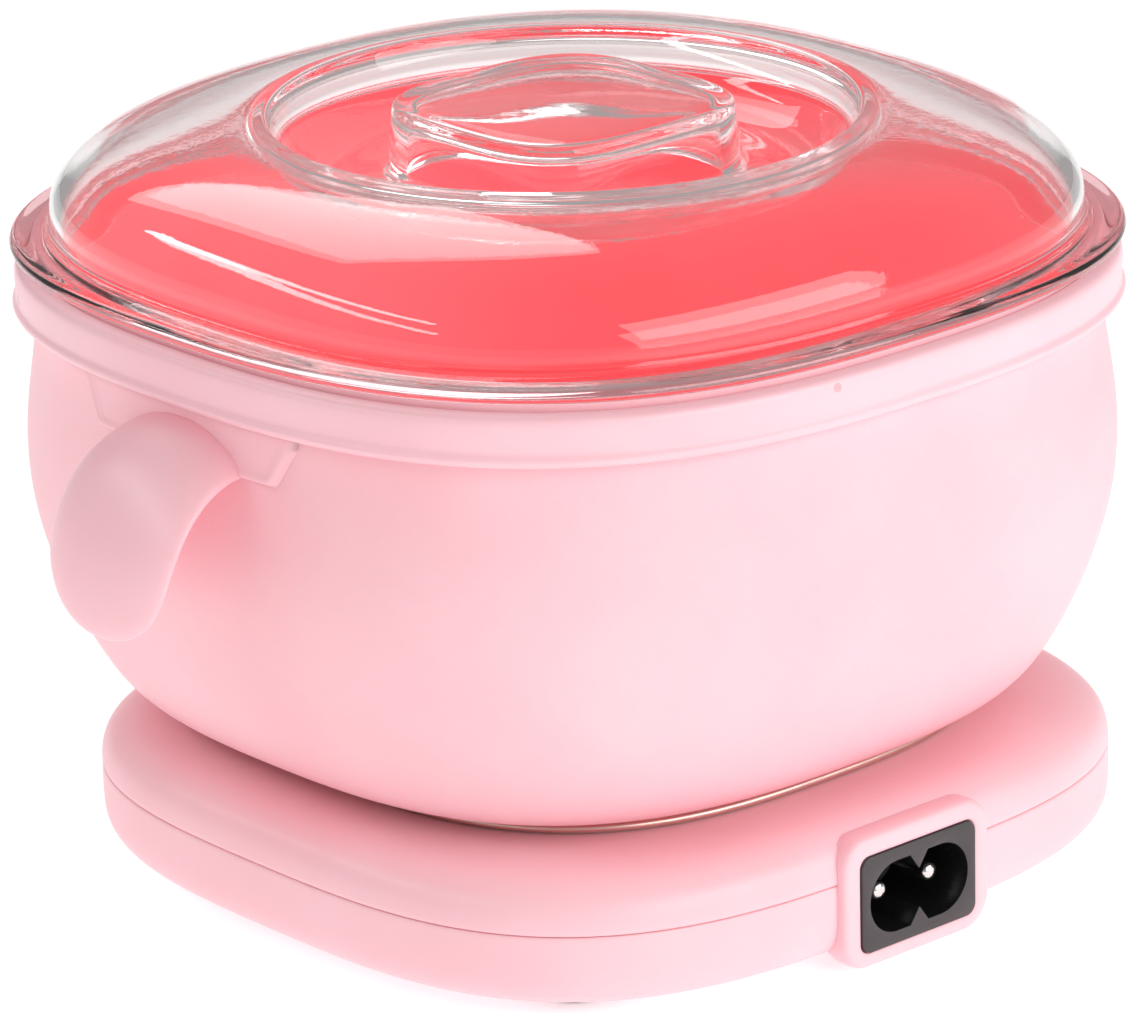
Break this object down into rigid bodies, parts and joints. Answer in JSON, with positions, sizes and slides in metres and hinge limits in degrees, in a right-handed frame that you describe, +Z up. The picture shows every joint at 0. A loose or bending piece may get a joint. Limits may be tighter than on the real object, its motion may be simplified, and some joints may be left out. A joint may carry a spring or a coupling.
{
  "type": "wax warmer pot",
  "caption": "Square wax warmer: soft round-cornered pot with side tabs and a clear knobbed lid, lifting off a low heated base with a mains inlet and a push button.",
  "frame": {"origin": "centre of the bounding box's bottom face, on the pot's vertical axis, at the table", "axes": "+Z up, +Y towards the mains inlet, +X towards one of the two handles"},
  "size_m": [0.154, 0.1282, 0.0966],
  "materials": {
    "base_plastic": "satin moulded",
    "plate_metal": "brushed, champagne tint",
    "seal_silicone": "matt",
    "mica": "layered mica",
    "terminal_brass": "stamped",
    "fibre_pad": "ceramic fibre felt",
    "zinc_steel": "zinc plated",
    "sensor_metal": "drawn can",
    "board_green": "lacquered laminate",
    "capacitor_blue": "moulded case",
    "black_plastic": "moulded",
    "terminal_green": "moulded",
    "led_resin": "frosted resin",
    "bezel_white": "glossy",
    "button_white": "satin",
    "socket_grey": "moulded",
    "pin_nickel": "nickel plated",
    "wire_brown": "insulation",
    "wire_white": "silicone insulation",
    "wire_black": "insulation",
    "foot_rubber": "matt",
    "pot_silicone": "smooth matt silicone",
    "insert_metal": "turned",
    "collar_plastic": "satin moulded",
    "handle_plastic": "satin moulded",
    "lid_clear": "clear, polished"
  },
  "bodies": {
    "base": {"base_bottom_housing": "base_plastic", "base_top_housing": "base_plastic", "heating_plate": "plate_metal", "plate_gasket": "seal_silicone", "heater_element": "mica", "heater_terminals": "terminal_brass", "insulation_pad": "fibre_pad", "clamp_plate": "zinc_steel", "clamp_screws": "zinc_steel", "temperature_sensor": "sensor_metal", "thermal_fuse": "sensor_metal", "control_board": "board_green", "board_screws": "zinc_steel", "film_capacitor": "capacitor_blue", "triac": "black_plastic", "terminal_block": "terminal_green", "button_board": "board_green", "push_switch": "black_plastic", "status_leds": "led_resin", "led_lenses": "led_resin", "control_bezel": "bezel_white", "inlet_socket": "socket_grey", "inlet_pins": "pin_nickel", "mains_wires": "wire_brown", "heater_wires": "wire_white", "sensor_wires": "wire_black", "housing_screws": "zinc_steel", "rubber_feet": "foot_rubber"},
    "button": {"power_button": "button_white"},
    "pot": {"pot_shell": "pot_silicone", "pot_base_insert": "insert_metal", "rim_collar": "collar_plastic", "handle_left": "handle_plastic", "handle_right": "handle_plastic"},
    "lid": {"lid_shell": "lid_clear"}
  },
  "joints": [
    {"name": "pot_lift", "type": "slide", "parent": "base", "child": "pot", "axis": [0, 0, 1], "range_m": [0, 0.12]},
    {"name": "lid_lift", "type": "slide", "parent": "pot", "child": "lid", "axis": [0, 0, 1], "range_m": [0, 0.1]},
    {"name": "button_press", "type": "slide", "parent": "base", "child": "button", "axis": [0, 1, 0], "range_m": [0, 0.0005], "stiffness_N_per_m": 1200}
  ]
}
